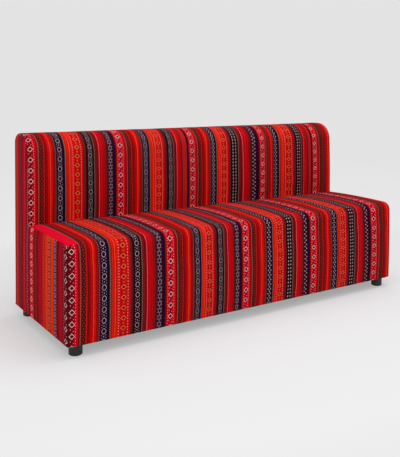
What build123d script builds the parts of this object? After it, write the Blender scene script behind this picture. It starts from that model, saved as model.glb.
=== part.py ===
from build123d import *
import os

os.makedirs("parts", exist_ok=True)

# Overall sizes in millimetres. X runs along the sofa, the seat faces -Y, the floor is z = 0
sofa_length = 1800
sofa_depth = 650
sofa_height = 840
seat_height = 450
back_depth = 192
back_lean = 14

# Rounding and fullness of the upholstery, measured on the outside of the cloth
end_round = 22
seat_nose_round = 36
back_nose_round = 92
back_crest_round = 46
hem_round = 6
seat_crown = 5
front_bow = 3
back_bow = 4
seam_inset = 6.5

# Cloth, wadding and foam
cloth = 1.5
cloth_fit = 0.3
hem_turn = 32
dust_cloth = 0.8
dust_inset = 14
side_pad = 10
rear_pad = 7
crest_foam = 58
felt = 3

# Timber frame: L-shaped formers tied together by rails
rail = 22
spring_rail = 22
former = 22
rail_top = 290
former_drop = 35
former_back_depth = 116
inner_former_place = 290
frame_fit = 0.2
lap_depth = 100
panel = 6
rear_board = 3
corner_block_leg = 70
corner_block_gap = 25
corner_block_height = 160

# Screws that hold the frame together
screw_shank = 5
screw_head = 9
screw_head_depth = 4
screw_length = 60
screw_fit = 0.1
screw_edge = 40

# Zigzag seat springs, their clips and the wires that tie them together
spring_wire = 3.8
spring_width = 48
spring_step = 22
spring_bend = 9.5
spring_pitch = 134
spring_end_gap = 60
clip_sheet = 1.2
clip_width = 14
clip_reach = 9
spring_fit = 0.3
tie_wire = 3
tie_spread = 140

# Feet and the hardware that screws them to the frame
foot_height = 47
foot_diameter = 55
foot_place = 52
foot_bevel = 2.5
foot_shoulder = 1
glide_diameter = 42
glide_thickness = 4
glide_recess = 2
glide_fit = 0.3
foot_plate = 18
foot_plate_side = 110
bolt_diameter = 8
bolt_in_foot = 28
bolt_bevel = 1
bolt_spare = 6
bolt_fit = 0.1
bolt_hole_play = 0.5
tee_flange = 22
tee_sheet = 1.5
tee_barrel = 10
tee_barrel_length = 12

# Staples that hold the dust cover
staple_wire = 0.8
staple_crown = 11
staple_leg = 9
staple_pitch = 150
staple_edge = 8
staple_fit = 0.1

# One length that takes every cut and region past the faces it meets
overrun = 5

# Places that follow from the sizes above
half_length = sofa_length / 2
half_depth = sofa_depth / 2
base_bottom = foot_height + dust_cloth
crevice = half_depth - back_depth
pad_face = cloth + cloth_fit
frame_bottom = base_bottom + pad_face
frame_half = half_length - pad_face - side_pad
inner_half = frame_half - former
frame_front = -half_depth + pad_face + side_pad
frame_rear = half_depth - pad_face - rear_pad - rear_board
former_back = frame_rear - former_back_depth
spring_rail_rear = crevice - pad_face
spring_rail_front = spring_rail_rear - spring_rail
wire_bottom = rail_top + clip_sheet + spring_fit
wire_middle = wire_bottom + spring_wire / 2
felt_bottom = wire_bottom + spring_wire + spring_fit + clip_sheet
deck = felt_bottom + felt
top_rail_top = sofa_height - crest_foam
top_rail_bottom = top_rail_top - rail
crest_seam = sofa_height - back_crest_round
seam_place = half_length - seam_inset
hem_x = half_length - hem_turn
hem_y = half_depth - hem_turn
foot_x = half_length - foot_place
foot_y = half_depth - foot_place
plate_top = frame_bottom + foot_plate
bolt_top = plate_top + tee_sheet + bolt_spare
past_end = half_length + overrun
past_rear = half_depth + overrun
past_top = sofa_height + overrun


def save(node, shape):
    # Loose solids that belong together stay side by side in one node
    solids = shape if isinstance(shape, list) else shape.solids()
    body = solids[0] if len(solids) == 1 else Compound(children=list(solids))
    export_step(body, "parts/" + node + ".step")


def block(x0, x1, y0, y1, z0, z1):
    # A plain board between two corners
    board = Box(x1 - x0, y1 - y0, z1 - z0, align=(Align.MIN, Align.MIN, Align.MIN))
    return Pos(x0, y0, z0) * board


def slab(half, y0, y1, z0, z1):
    # A region that reaches equally far to the left and to the right
    return block(-half, half, y0, y1, z0, z1)


def outline(runs):
    # A face in the YZ plane from lines and three-point arcs, each a tuple of (y, z) points
    edges = []
    for run in runs:
        spots = [Vector(0, y, z) for y, z in run]
        if len(run) == 2:
            edges.append(Edge.make_line(*spots))
        else:
            edges.append(Edge.make_three_point_arc(*spots))
    return Face(Wire(edges))


def prism(points, x0, x1):
    # A board cut to an outline in the YZ plane
    turns = [(a, b) for a, b in zip(points, points[1:] + points[:1])]
    return Pos(x0, 0, 0) * extrude(outline(turns), amount=x1 - x0, dir=(1, 0, 0))


def rounded(face, half, inset, keeps_edge, keeps_hem):
    # Runs an outline along the sofa, rounds its two ends, then its lower edge
    solid = extrude(face, amount=half, dir=(1, 0, 0), both=True)
    low = solid.bounding_box().min.Z
    ends = solid.faces().sort_by(Axis.X)
    edges = ends[0].edges() + ends[-1].edges()
    edges = [e for e in edges if e.center().Z > low + cloth and keeps_edge(e.center().Y)]
    solid = fillet(edges, end_round - inset)
    hem = [e for e in solid.edges() if e.center().Z < low + cloth_fit and keeps_hem(e.center().Y)]
    return fillet(hem, hem_round - inset)


def seat_form(inset, rear):
    # The seat block: bowed front, crowned top, round nose and round ends
    front = -half_depth + inset
    low = base_bottom + inset
    high = seat_height - inset
    foot = (front + front_bow, low)
    tip = (front + front_bow, high - seat_crown)
    heel = (rear, high - seat_crown)
    face = outline(
        [
            (foot, (front, (low + high) / 2), tip),
            (tip, ((front + rear) / 2, high), heel),
            (heel, (rear, low)),
            ((rear, low), foot),
        ]
    )
    nose = face.vertices().sort_by_distance((0, *tip))[0]
    face = face.fillet_2d(seat_nose_round - inset, [nose])
    before_rear = lambda y: y < rear - cloth
    return rounded(face, half_length - inset, inset, before_rear, before_rear)


def back_form(inset):
    # The back block: upright to the seat, then leaning back a little to a round top
    front = crevice + inset
    rear = half_depth - inset
    low = base_bottom + inset
    high = sofa_height - inset
    bend = (front, seat_height)
    middle = (front + back_lean / 2 - back_bow, (seat_height + high) / 2)
    tip = (front + back_lean, high)
    face = outline(
        [
            ((front, low), bend),
            (bend, middle, tip),
            (tip, (rear, high)),
            ((rear, high), (rear, low)),
            ((rear, low), (front, low)),
        ]
    )
    nose = face.vertices().sort_by_distance((0, *tip))[0]
    face = face.fillet_2d(back_nose_round - inset, [nose])
    crest = face.vertices().sort_by_distance((0, rear, high))[0]
    face = face.fillet_2d(back_crest_round - inset, [crest])
    anywhere = lambda y: True
    behind_front = lambda y: y > front + cloth
    return rounded(face, half_length - inset, inset, anywhere, behind_front)


def both_forms(inset, back):
    # The L-shaped outline of an end: the seat block runs on into the back block
    return seat_form(inset, crevice + end_round * 2) + back


# Outside and inside of the cloth, and the face of the stuffing under it
back_outside = back_form(0)
back_inside = back_form(cloth)
back_stuffing = back_form(pad_face)
seat_shell = seat_form(0, crevice) - seat_form(cloth, crevice - cloth)
seat_stuffing = seat_form(pad_face, crevice - pad_face)
back_shell = back_outside - back_inside
end_shell = both_forms(0, back_outside) - both_forms(cloth, back_inside)
end_stuffing = both_forms(pad_face, back_stuffing)

# The covers turn in under the frame by the hem, and meet along seams near the end faces
under = slab(hem_x, -hem_y, hem_y, base_bottom - overrun, base_bottom + cloth + cloth_fit)
side_hem = slab(seam_place, -hem_y, hem_y, base_bottom - overrun, base_bottom + cloth)
side_hem = side_hem - under
middle_run = slab(seam_place, -past_rear, past_rear, base_bottom - overrun, past_top) - side_hem
tucked = slab(past_end, crevice - cloth - cloth_fit, crevice + cloth_fit, base_bottom - overrun, deck)
rear_wall = slab(past_end, hem_y - overrun, past_rear, base_bottom - overrun, crest_seam)
below_deck = slab(past_end, crevice - overrun, past_rear, base_bottom - overrun, deck)

seat_cover = (seat_shell & middle_run) - under - tucked
back_cover = (back_shell & middle_run) - below_deck - rear_wall
outside_back_cover = (back_shell & middle_run & rear_wall) - under
side_covers = {}
for side, sign in (("left", -1), ("right", 1)):
    near = min(sign * seam_place, sign * past_end)
    far = max(sign * seam_place, sign * past_end)
    end_face = block(near, far, -past_rear, past_rear, base_bottom - overrun, past_top)
    near = min(sign * (hem_x - overrun), sign * seam_place)
    far = max(sign * (hem_x - overrun), sign * seam_place)
    end_hem = block(near, far, -hem_y, hem_y, base_bottom - overrun, base_bottom + cloth)
    side_covers[side] = (end_shell & (end_face + end_hem)) - under

# Foam and wadding between the cloth and the frame
seat_foam = seat_stuffing & slab(past_end, -past_rear, past_rear, deck, past_top)
front_pad = seat_stuffing & slab(frame_half, -past_rear, frame_front, frame_bottom, deck)
back_foam = back_stuffing & slab(frame_half, crevice, former_back - panel, deck, top_rail_top)
crest_roll = back_stuffing & slab(frame_half, crevice, past_rear, top_rail_top, past_top)
rear_wadding = back_stuffing & slab(frame_half, frame_rear + rear_board, past_rear, frame_bottom, top_rail_top)
seat_felt = slab(frame_half, frame_front, spring_rail_rear, felt_bottom, deck)
save("seat_foam", seat_foam)
save("front_pad", front_pad)
save("back_foam", back_foam)
save("crest_foam", crest_roll)
save("rear_wadding", rear_wadding)
save("seat_felt", seat_felt)
for side, sign in (("left", -1), ("right", 1)):
    near = min(sign * frame_half, sign * past_end)
    far = max(sign * frame_half, sign * past_end)
    low_end = block(near, far, -past_rear, past_rear, frame_bottom, deck)
    high_end = block(near, far, crevice, past_rear, deck, past_top)
    save("base_side_pad_" + side, end_stuffing & low_end)
    save("back_side_pad_" + side, back_stuffing & high_end)

# Frame boards, kept by name until the screw holes are cut
boards = {
    "front_rail": slab(inner_half, frame_front, frame_front + rail, frame_bottom, rail_top),
    "rear_rail": slab(inner_half, frame_rear - rail, frame_rear, frame_bottom, rail_top),
    "spring_rail": slab(inner_half, spring_rail_front, spring_rail_rear, frame_bottom, rail_top),
    "back_top_rail": slab(frame_half, former_back, frame_rear, top_rail_bottom, top_rail_top),
}
end_points = [
    (frame_front, frame_bottom),
    (frame_front, rail_top),
    (former_back, rail_top),
    (former_back, top_rail_bottom),
    (frame_rear, top_rail_bottom),
    (frame_rear, frame_bottom),
]
inner_points = [
    (frame_front + rail, frame_bottom),
    (frame_front + rail, rail_top - former_drop),
    (former_back, rail_top - former_drop),
    (former_back, top_rail_bottom),
    (frame_rear, top_rail_bottom),
    (frame_rear, rail_top),
    (frame_rear - rail, rail_top),
    (frame_rear - rail, frame_bottom),
]
lap = frame_bottom + lap_depth
lap_slot = slab(
    past_end,
    spring_rail_front - frame_fit,
    spring_rail_rear + frame_fit,
    lap,
    rail_top,
)
for side, sign in (("left", -1), ("right", 1)):
    end = min(sign * inner_half, sign * frame_half)
    boards["end_former_" + side] = prism(end_points, end, end + former)
    middle = sign * inner_former_place - former / 2
    boards["inner_former_" + side] = prism(inner_points, middle, middle + former) - lap_slot
    gap = block(
        middle - frame_fit,
        middle + former + frame_fit,
        spring_rail_front - overrun,
        spring_rail_rear + overrun,
        frame_bottom - overrun,
        lap + frame_fit,
    )
    boards["spring_rail"] = boards["spring_rail"] - gap

# Corner blocks and foot plates, one of each at every corner of the base
corners = {
    "front_left": (-1, -1),
    "front_right": (1, -1),
    "rear_left": (-1, 1),
    "rear_right": (1, 1),
}
corner_block_bottom = bolt_top + corner_block_gap
for corner, (sign_x, sign_y) in corners.items():
    x = sign_x * inner_half
    y = frame_front + rail if sign_y < 0 else frame_rear - rail
    spots = [
        Vector(x, y, corner_block_bottom),
        Vector(x - sign_x * corner_block_leg, y, corner_block_bottom),
        Vector(x, y - sign_y * corner_block_leg, corner_block_bottom),
    ]
    turns = [Edge.make_line(a, b) for a, b in zip(spots, spots[1:] + spots[:1])]
    wedge = extrude(Face(Wire(turns)), amount=corner_block_height, dir=(0, 0, 1))
    save("corner_block_" + corner, wedge)
    x_in = x - sign_x * foot_plate_side
    y_in = y - sign_y * foot_plate_side
    plate = block(min(x, x_in), max(x, x_in), min(y, y_in), max(y, y_in), frame_bottom, plate_top)
    hole = Pos(sign_x * foot_x, sign_y * foot_y, frame_bottom + foot_plate / 2)
    hole = hole * Cylinder(tee_barrel / 2 + bolt_fit, foot_plate + overrun)
    save("foot_plate_" + corner, plate - hole)

# Thin boards that carry the back's foam and close its rear
save("back_panel", slab(frame_half, former_back - panel, former_back, deck, top_rail_top))
save("rear_board", slab(frame_half, frame_rear, frame_rear + rear_board, frame_bottom, top_rail_top))


def screw(grow):
    # A countersunk screw that points down, with the top of its head at the origin
    down = (Align.CENTER, Align.CENTER, Align.MAX)
    shank = Cylinder(screw_shank / 2 + grow, screw_length + grow, align=down)
    head = Cone(screw_shank / 2 + grow, screw_head / 2 + grow, screw_head_depth, align=down)
    return shank + head


# Each screw joins the two boards that it goes through
screw_shape = screw(0)
screw_hole = screw(screw_fit)
screws = []
holes = {name: [] for name in boards}


def drive(place, names):
    screws.append(place * screw_shape)
    for name in names:
        holes[name].append(place * screw_hole)


rail_middles = {
    "front_rail": frame_front + rail / 2,
    "spring_rail": spring_rail_front + spring_rail / 2,
    "rear_rail": frame_rear - rail / 2,
}
low_screw = frame_bottom + screw_edge
high_screw = rail_top - screw_edge
for side, sign in (("left", -1), ("right", 1)):
    for name, y in rail_middles.items():
        for z in (low_screw, (low_screw + high_screw) / 2, high_screw):
            drive(Pos(sign * frame_half, y, z) * Rot(0, sign * 90, 0), [name, "end_former_" + side])
    inner = "inner_former_" + side
    for z in (low_screw, high_screw - former_drop):
        x = sign * inner_former_place
        drive(Pos(x, frame_front, z) * Rot(90, 0, 0), ["front_rail", inner])
        drive(Pos(x, frame_rear, z) * Rot(-90, 0, 0), ["rear_rail", inner])
    for y in (former_back + screw_edge, frame_rear - screw_edge):
        drive(Pos(sign * (frame_half - former / 2), y, top_rail_top), ["back_top_rail", "end_former_" + side])
        drive(Pos(sign * inner_former_place, y, top_rail_top), ["back_top_rail", inner])
save("frame_screws", screws)


# Staples go up through the dust cover and the turned hem into the frame
def staple(grow):
    crown = Box(staple_crown + grow * 2, staple_wire + grow * 2, staple_wire)
    crown = Pos(0, 0, -staple_wire / 2) * crown
    leg_x = staple_crown / 2 - staple_wire / 2
    up = (Align.CENTER, Align.CENTER, Align.MIN)
    leg = Box(staple_wire + grow * 2, staple_wire + grow * 2, staple_leg + grow, align=up)
    return crown + Pos(-leg_x, 0, 0) * leg + Pos(leg_x, 0, 0) * leg


staple_shape = staple(0)
staple_hole = staple(staple_fit)
staple_x = half_length - dust_inset - staple_edge
staple_y = half_depth - dust_inset - staple_edge
clear_x = half_length - foot_place - foot_diameter / 2 - staple_crown
clear_y = half_depth - foot_place - foot_diameter / 2 - staple_crown
staples = []
slots = {"front": [], "rear": [], "left": [], "right": []}


def staple_row(limit, count, edge, place):
    for index in range(count + 1):
        spot = -limit + limit * 2 * index / count
        staples.append(place(spot) * staple_shape)
        slots[edge].append(place(spot) * staple_hole)


long_count = round(clear_x * 2 / staple_pitch)
short_count = round(clear_y * 2 / staple_pitch)
staple_row(clear_x, long_count, "front", lambda s: Pos(s, -staple_y, foot_height))
staple_row(clear_x, long_count, "rear", lambda s: Pos(s, staple_y, foot_height))
staple_row(clear_y, short_count, "left", lambda s: Pos(-staple_x, s, foot_height) * Rot(0, 0, 90))
staple_row(clear_y, short_count, "right", lambda s: Pos(staple_x, s, foot_height) * Rot(0, 0, 90))
save("dust_cover_staples", staples)

holes["front_rail"] += slots["front"]
holes["rear_rail"] += slots["rear"]
holes["end_former_left"] += slots["left"]
holes["end_former_right"] += slots["right"]
for name, board in boards.items():
    save(name, board.cut(*holes[name]))
save("seat_cover", seat_cover.cut(*slots["front"]))
save("back_cover", back_cover)
save("outside_back_cover", outside_back_cover.cut(*slots["rear"]))
for side, cover in side_covers.items():
    save("side_cover_" + side, cover.cut(*slots[side]))

dust_cover = slab(
    half_length - dust_inset,
    -half_depth + dust_inset,
    half_depth - dust_inset,
    foot_height,
    base_bottom,
)
bolt_hole = Cylinder(bolt_diameter / 2 + bolt_hole_play, overrun)
bolt_holes = [Pos(sx * foot_x, sy * foot_y, foot_height) * bolt_hole for sx, sy in corners.values()]
dust_cover = dust_cover.cut(*bolt_holes, *[hole for row in slots.values() for hole in row])
save("dust_cover", dust_cover)

# Zigzag springs from the front rail to the spring rail, held by a clip at each end
first_row = frame_front + rail / 2
last_row = spring_rail_front + spring_rail / 2
row_count = round((last_row - first_row) / spring_step)
step = (last_row - first_row) / row_count
bends = []
for row in range(row_count + 1):
    turn = -1 if row % 2 == 0 else 1
    y = first_row + step * row
    bends.append((turn * spring_width / 2, y, wire_middle))
    bends.append((-turn * spring_width / 2, y, wire_middle))
line = FilletPolyline(*bends, radius=spring_bend)
section = Plane(origin=line @ 0, z_dir=line % 0) * Circle(spring_wire / 2)
spring = sweep(section, path=line)
reach = inner_half - spring_end_gap
spring_count = round(reach * 2 / spring_pitch)
clips = []


def clip(turn):
    # A folded strap: a base on the rail, a web behind the wire and a lip over it
    up = (Align.CENTER, Align.CENTER, Align.MIN)
    base = Box(clip_width, clip_reach * 2, clip_sheet, align=up)
    high = felt_bottom - clip_sheet - rail_top
    web = Pos(0, turn * (clip_reach - clip_sheet / 2), 0)
    web = web * Box(clip_width, clip_sheet, high + clip_sheet, align=up)
    return base + web + Pos(0, 0, high) * base


for index in range(spring_count + 1):
    x = -reach + reach * 2 * index / spring_count
    save("seat_spring_" + str(index + 1), Pos(x, 0, 0) * spring)
    clips.append(Pos(x, first_row, rail_top) * clip(-1))
    clips.append(Pos(x, last_row, rail_top) * clip(1))
save("spring_clips", clips)

# Two straight wires tie the springs to each other from below
ties = []
for sign in (-1, 1):
    y = (first_row + last_row) / 2 + sign * tie_spread / 2
    lie = Pos(0, y, wire_bottom - spring_fit - tie_wire / 2) * Rot(0, 90, 0)
    ties.append(lie * Cylinder(tie_wire / 2, inner_half * 2))
save("spring_tie_wires", ties)


# Feet: a turned black foot, a glide let into its underside, a bolt and a tee nut
def upright(diameter, low, high):
    up = (Align.CENTER, Align.CENTER, Align.MIN)
    return Pos(0, 0, low) * Cylinder(diameter / 2, high - low, align=up)


foot_bottom = glide_thickness - glide_recess
foot = upright(foot_diameter, foot_bottom, foot_height)
foot = chamfer(foot.edges().sort_by(Axis.Z)[0], foot_bevel)
foot = fillet(foot.edges().sort_by(Axis.Z)[-1], foot_shoulder)
foot = foot - upright(glide_diameter + glide_fit * 2, foot_bottom - overrun, glide_thickness)
bolt_bottom = foot_height - bolt_in_foot
foot = foot - upright(bolt_diameter + bolt_fit * 2, bolt_bottom - bolt_hole_play, foot_height + overrun)
glide = upright(glide_diameter, 0, glide_thickness)
bolt = upright(bolt_diameter, bolt_bottom, bolt_top)
bolt = chamfer(bolt.edges().group_by(Axis.Z)[0] + bolt.edges().group_by(Axis.Z)[-1], bolt_bevel)
nut = upright(tee_flange, plate_top, plate_top + tee_sheet)
nut = nut + upright(tee_barrel, plate_top - tee_barrel_length, plate_top)
nut = nut - upright(bolt_diameter + bolt_fit * 2, frame_bottom, bolt_top)
glides = []
bolts = []
nuts = []
for corner, (sign_x, sign_y) in corners.items():
    place = Pos(sign_x * foot_x, sign_y * foot_y, 0)
    save("foot_" + corner, place * foot)
    glides.append(place * glide)
    bolts.append(place * bolt)
    nuts.append(place * nut)
save("foot_glides", glides)
save("foot_bolts", bolts)
save("tee_nuts", nuts)
print("nodes", len(os.listdir("parts")), "springs", spring_count + 1, "screws", len(screws), "staples", len(staples))
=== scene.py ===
import math
import bmesh
import bpy
from mathutils import Matrix, Vector, noise
from mathutils.geometry import delaunay_2d_cdt


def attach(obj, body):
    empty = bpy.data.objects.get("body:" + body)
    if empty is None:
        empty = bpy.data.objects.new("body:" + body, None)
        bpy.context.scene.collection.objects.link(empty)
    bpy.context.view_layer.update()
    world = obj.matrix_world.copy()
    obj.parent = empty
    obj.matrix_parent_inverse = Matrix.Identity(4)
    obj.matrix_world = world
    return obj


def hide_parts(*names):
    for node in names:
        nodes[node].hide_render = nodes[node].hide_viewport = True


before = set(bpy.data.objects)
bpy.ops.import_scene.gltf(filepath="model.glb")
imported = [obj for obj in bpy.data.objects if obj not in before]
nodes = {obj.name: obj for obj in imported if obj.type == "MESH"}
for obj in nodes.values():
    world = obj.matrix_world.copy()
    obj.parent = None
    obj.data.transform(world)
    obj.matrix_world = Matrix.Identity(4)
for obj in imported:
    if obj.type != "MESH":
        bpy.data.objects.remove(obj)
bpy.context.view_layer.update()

# Majlis sofa: a stuffed block and back in striped cloth, on four black feet.
# Metres throughout. X runs along the sofa, the front faces -Y and Z is up.
print("frame loaded,", len(nodes), "CAD nodes")

form = {
    "half": 0.9, "front": -0.325, "rear": 0.325, "bottom": 0.0478,
    "seatTop": 0.45, "crown": 0.005, "frontBow": 0.003, "crevice": 0.133,
    "top": 0.84, "lean": 0.014, "backBow": 0.004,
    "endRound": 0.022, "nose": 0.036, "bullnose": 0.092, "crest": 0.046, "hemRound": 0.006,
    "seamIn": 0.0065, "hemTurn": 0.032, "cloth": 0.0015,
    "deck": 0.2999, "padBack": -0.3134, "foamBack": 0.191, "railTop": 0.7825, "rearPad": 0.3164,
    "frameHalf": 0.8885, "heelGap": 0.0019, "heelTurn": 0.008, "insideLag": 0.0027,
    "bowReach": 0.3, "crownFrom": 0.25, "crownReach": 0.19, "endSwell": 0.0016, "swellReach": 0.12,
    "step": 0.014, "hemStep": 0.008, "insideStep": 0.06,
}
seamX, hemX, hemY = form["half"] - form["seamIn"], form["half"] - form["hemTurn"], form["rear"] - form["hemTurn"]
faceY, flatZ = form["front"] + form["frontBow"], form["seatTop"] - form["crown"]
hemZ, crestZ = form["bottom"] + form["hemRound"], form["top"] - form["crest"]
frontFootY, rearFootY = faceY + form["hemRound"], form["rear"] - form["hemRound"]

# The photograph's viewpoint, in the frame of a 400 by 457 picture
view = {
    "place": (-1.8803, -2.7874, 1.0667), "azimuth": 34.43, "down": 2.06, "roll": 0.35,
    "focal": 684.8, "centre": (222.0, 108.4), "frame": (400, 457),
}


def placeCamera():
    turn, down, roll = (math.radians(view[k]) for k in ("azimuth", "down", "roll"))
    ahead = Vector((math.sin(turn) * math.cos(down), math.cos(turn) * math.cos(down), -math.sin(down)))
    side = Vector((math.cos(turn), -math.sin(turn), 0))
    up = side.cross(ahead)
    right = side * math.cos(roll) + up * math.sin(roll)
    up = up * math.cos(roll) - side * math.sin(roll)
    lens = bpy.data.cameras.new("camera")
    wide, high = view["frame"]
    lens.sensor_width = 36
    lens.lens = view["focal"] / high * 36
    lens.shift_x = (wide / 2 - view["centre"][0]) / high
    lens.shift_y = (view["centre"][1] - high / 2) / high
    lens.clip_end = 60
    camera = bpy.data.objects.new("camera", lens)
    camera.matrix_world = Matrix.Translation(view["place"]) @ Matrix((right, up, -ahead)).transposed().to_4x4()
    bpy.context.scene.collection.objects.link(camera)
    bpy.context.scene.camera = camera


placeCamera()
print("camera placed")


def tone(red, green, blue):
    # 8-bit screen colour to the linear values a shader takes
    spots = [c / 255 for c in (red, green, blue)]
    return tuple(c / 12.92 if c <= 0.04045 else ((c + 0.055) / 1.055) ** 2.4 for c in spots) + (1.0,)


def arithmetic(operation, flipped=False):
    # One operator of Sum, or its reflected form
    def worked(self, other=0.0):
        return self.recipe.math(operation, *((other, self) if flipped else (self, other)))

    return worked


class Sum:
    # A socket that takes part in plain arithmetic
    def __init__(self, recipe, socket):
        self.recipe, self.socket = recipe, socket

    __add__, __radd__ = arithmetic("ADD"), arithmetic("ADD", True)
    __sub__, __rsub__ = arithmetic("SUBTRACT"), arithmetic("SUBTRACT", True)
    __mul__, __rmul__ = arithmetic("MULTIPLY"), arithmetic("MULTIPLY", True)
    __truediv__, __mod__ = arithmetic("DIVIDE"), arithmetic("FLOORED_MODULO")
    __lt__, __gt__ = arithmetic("LESS_THAN"), arithmetic("GREATER_THAN")
    __abs__ = arithmetic("ABSOLUTE")


class Recipe:
    # The nodes of one material, world or node group
    def __init__(self, owner):
        self.owner, self.tree = owner, owner
        if not isinstance(owner, bpy.types.NodeTree):
            owner.use_nodes = True
            self.tree = owner.node_tree
            self.tree.nodes.clear()

    def node(self, kind, settings={}, sockets={}):
        made = self.tree.nodes.new(kind)
        for key, value in settings.items():
            if key != "stops":
                setattr(made, key, value)
                continue
            ramp = made.color_ramp
            ramp.interpolation = "CONSTANT"
            for index, (place, colour) in enumerate(value):
                stop = ramp.elements[index] if index < 2 else ramp.elements.new(place)
                stop.position, stop.color = place, colour
        for key, value in sockets.items():
            if isinstance(value, Sum):
                self.tree.links.new(value.socket, made.inputs[key])
            else:
                made.inputs[key].default_value = value
        return made

    def out(self, made, key=0):
        return Sum(self, made.outputs[key])

    def put(self, kind, settings={}, sockets={}, key=0):
        return self.out(self.node(kind, settings, sockets), key)

    def math(self, operation, *values):
        return self.put("ShaderNodeMath", {"operation": operation}, dict(enumerate(values)))

    def mix(self, share, first, second, way="MIX"):
        sockets = {0: share, 6: first, 7: second}
        return self.put("ShaderNodeMix", {"data_type": "RGBA", "blend_type": way}, sockets, 2)

    def point(self, x, y, z=0.0):
        return self.put("ShaderNodeCombineXYZ", {}, {0: x, 1: y, 2: z})

    def noise(self, where, scale, detail=2.0, rough=0.5):
        sockets = {"Vector": where, "Scale": scale, "Detail": detail, "Roughness": rough}
        return self.put("ShaderNodeTexNoise", {}, sockets)

    def objectPoint(self):
        return self.put("ShaderNodeTexCoord", key="Object")

    def parts(self, where):
        made = self.node("ShaderNodeSeparateXYZ", {}, {0: where})
        return [self.out(made, i) for i in range(3)]

    def bump(self, height, depth, strength=1.0):
        return self.put("ShaderNodeBump", {}, {"Height": height, "Distance": depth, "Strength": strength})

    def directlySeen(self):
        # 1 for what the camera, a reflection or clear glass looks at
        path = self.node("ShaderNodeLightPath")
        seen = self.math("MAXIMUM", self.out(path, "Is Camera Ray"), self.out(path, "Is Glossy Ray"))
        return self.math("MAXIMUM", seen, self.out(path, "Is Transmission Ray"))

    def finish(self, colour, roughness, normal, fixed):
        sockets = {"Base Color": colour, "Roughness": roughness, "Normal": normal, **fixed}
        skin = self.put("ShaderNodeBsdfPrincipled", {}, sockets)
        self.node("ShaderNodeOutputMaterial", {}, {0: skin})
        return self.owner


def newSkin(name):
    return Recipe(bpy.data.materials.new(name))


# The cloth: coloured warp stripes with small woven motifs, in millimetres across the stripes
yarns = {name: tone(*colour) for name, colour in {
    "crimson": (192, 2, 28), "red": (190, 6, 10), "brightRed": (200, 10, 8),
    "midRed": (152, 6, 10), "darkRed": (122, 6, 12), "maroon": (84, 6, 20),
    "purple": (78, 14, 32), "navy": (30, 8, 32), "black": (36, 8, 15),
    "brown": (96, 26, 24), "olive": (96, 60, 44), "orangeRed": (214, 22, 8),
    "orange": (220, 58, 20), "rust": (190, 30, 20), "pink": (170, 44, 60),
    "rose": (196, 10, 30), "lilacGround": (48, 8, 26), "plainCrimson": (214, 2, 36),
    "wine": (142, 8, 20), "brick": (156, 34, 34), "ember": (182, 16, 12), "tomato": (192, 34, 32),
    "plum": (124, 16, 32), "speckled": (118, 9, 14), "umber": (90, 26, 26), "back": (170, 26, 24),
    "white": (232, 208, 200), "pinkWhite": (234, 136, 126), "ash": (182, 170, 176),
    "lilac": (148, 130, 142), "gold": (234, 122, 62), "beige": (140, 114, 92),
    "heart": (96, 8, 22), "oliveSpot": (100, 76, 48), "darkSpot": (34, 6, 14),
    "redSpot": (122, 6, 14), "navySpot": (22, 8, 34),
}.items()}
# The drafts, in millimetres across: the bands of one repeat as width and yarn
mainDraft = {
    "repeat": 414,
    "bands": (
        "22 crimson, 11 crimson, 11 midRed, 3 olive, 3 black, 19 speckled, 3 rust, 8 darkRed, 8 midRed, 6 red, "
        "2 midRed, 16 brightRed, 7 midRed, 5 brown, 8 purple, 33 navy, 4 olive, 7 rust, 8 orangeRed, 2 ember, "
        "6 orangeRed, 6 crimson, 3 ember, 2 midRed, 16 ember, 2 midRed, 3 ember, 6 crimson, 7 red, 9 brown, "
        "39 black, 4 olive, 8 brown, 12 darkRed, 2 pink, 6 crimson, 2 darkRed, 6 crimson, 5 red, 2 midRed, "
        "7 red, 8 midRed, 6 brown, 9 purple, 26 lilacGround, 12 navy, 8 midRed, 6 crimson"
    ),
    # Where the middle of each motif column lies from the left end, and its place in the repeats
    "columns": {
        "seat": [(0, -6), (16.5, 11), (152, 150), (234, 211), (298, 267), (400, 375), (452, 425), (590, 564),
                 (646, 625), (707, 681), (797, 789), (843, 839), (982, 978), (1040, 1039), (1100, 1095),
                 (1202, 1203), (1250, 1253), (1393, 1392), (1446, 1453), (1508, 1509), (1616, 1617),
                 (1668, 1667), (1735, 1727), (1752, 1744), (1800, 1776)],
        "back": [(0, -4), (15, 11), (150, 150), (230, 211), (294, 267), (395, 375), (445, 425), (583, 564),
                 (650, 625), (720, 681), (799, 789), (843, 839), (975, 978), (1035, 1039), (1105, 1095),
                 (1235, 1203), (1295, 1253), (1380, 1392), (1475, 1453), (1550, 1509), (1636, 1625), (1665, 1667),
                 (1730, 1727), (1757, 1744), (1800, 1776)],
    },
}
endDraft = {
    "repeat": 700,
    "bands": (
        "26 brick, 10 midRed, 34 tomato, 10 midRed, 32 plum, 12 wine, 36 crimson, 14 wine, 24 plum, 18 wine, "
        "10 crimson, 30 rose, 8 crimson, 36 wine, 26 darkRed, 8 crimson, 3 maroon, 8 crimson, 3 purple, "
        "8 crimson, 10 red, 3 maroon, 9 red, 16 red, 12 rust, 10 orangeRed, 18 orange, 42 rust, 20 orange, "
        "10 rust, 8 brown, 22 plum, 12 purple, 10 wine, 8 crimson, 3 purple, 7 crimson, 3 plum, 8 crimson, "
        "3 purple, 12 wine, 3 purple, 9 wine, 36 maroon, 50 crimson"
    ),
}


weaving = {"rampStops": 28, "warp": 1.3, "weft": 1.9, "linkCorner": 1.36, "wander": 2.4}


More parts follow.
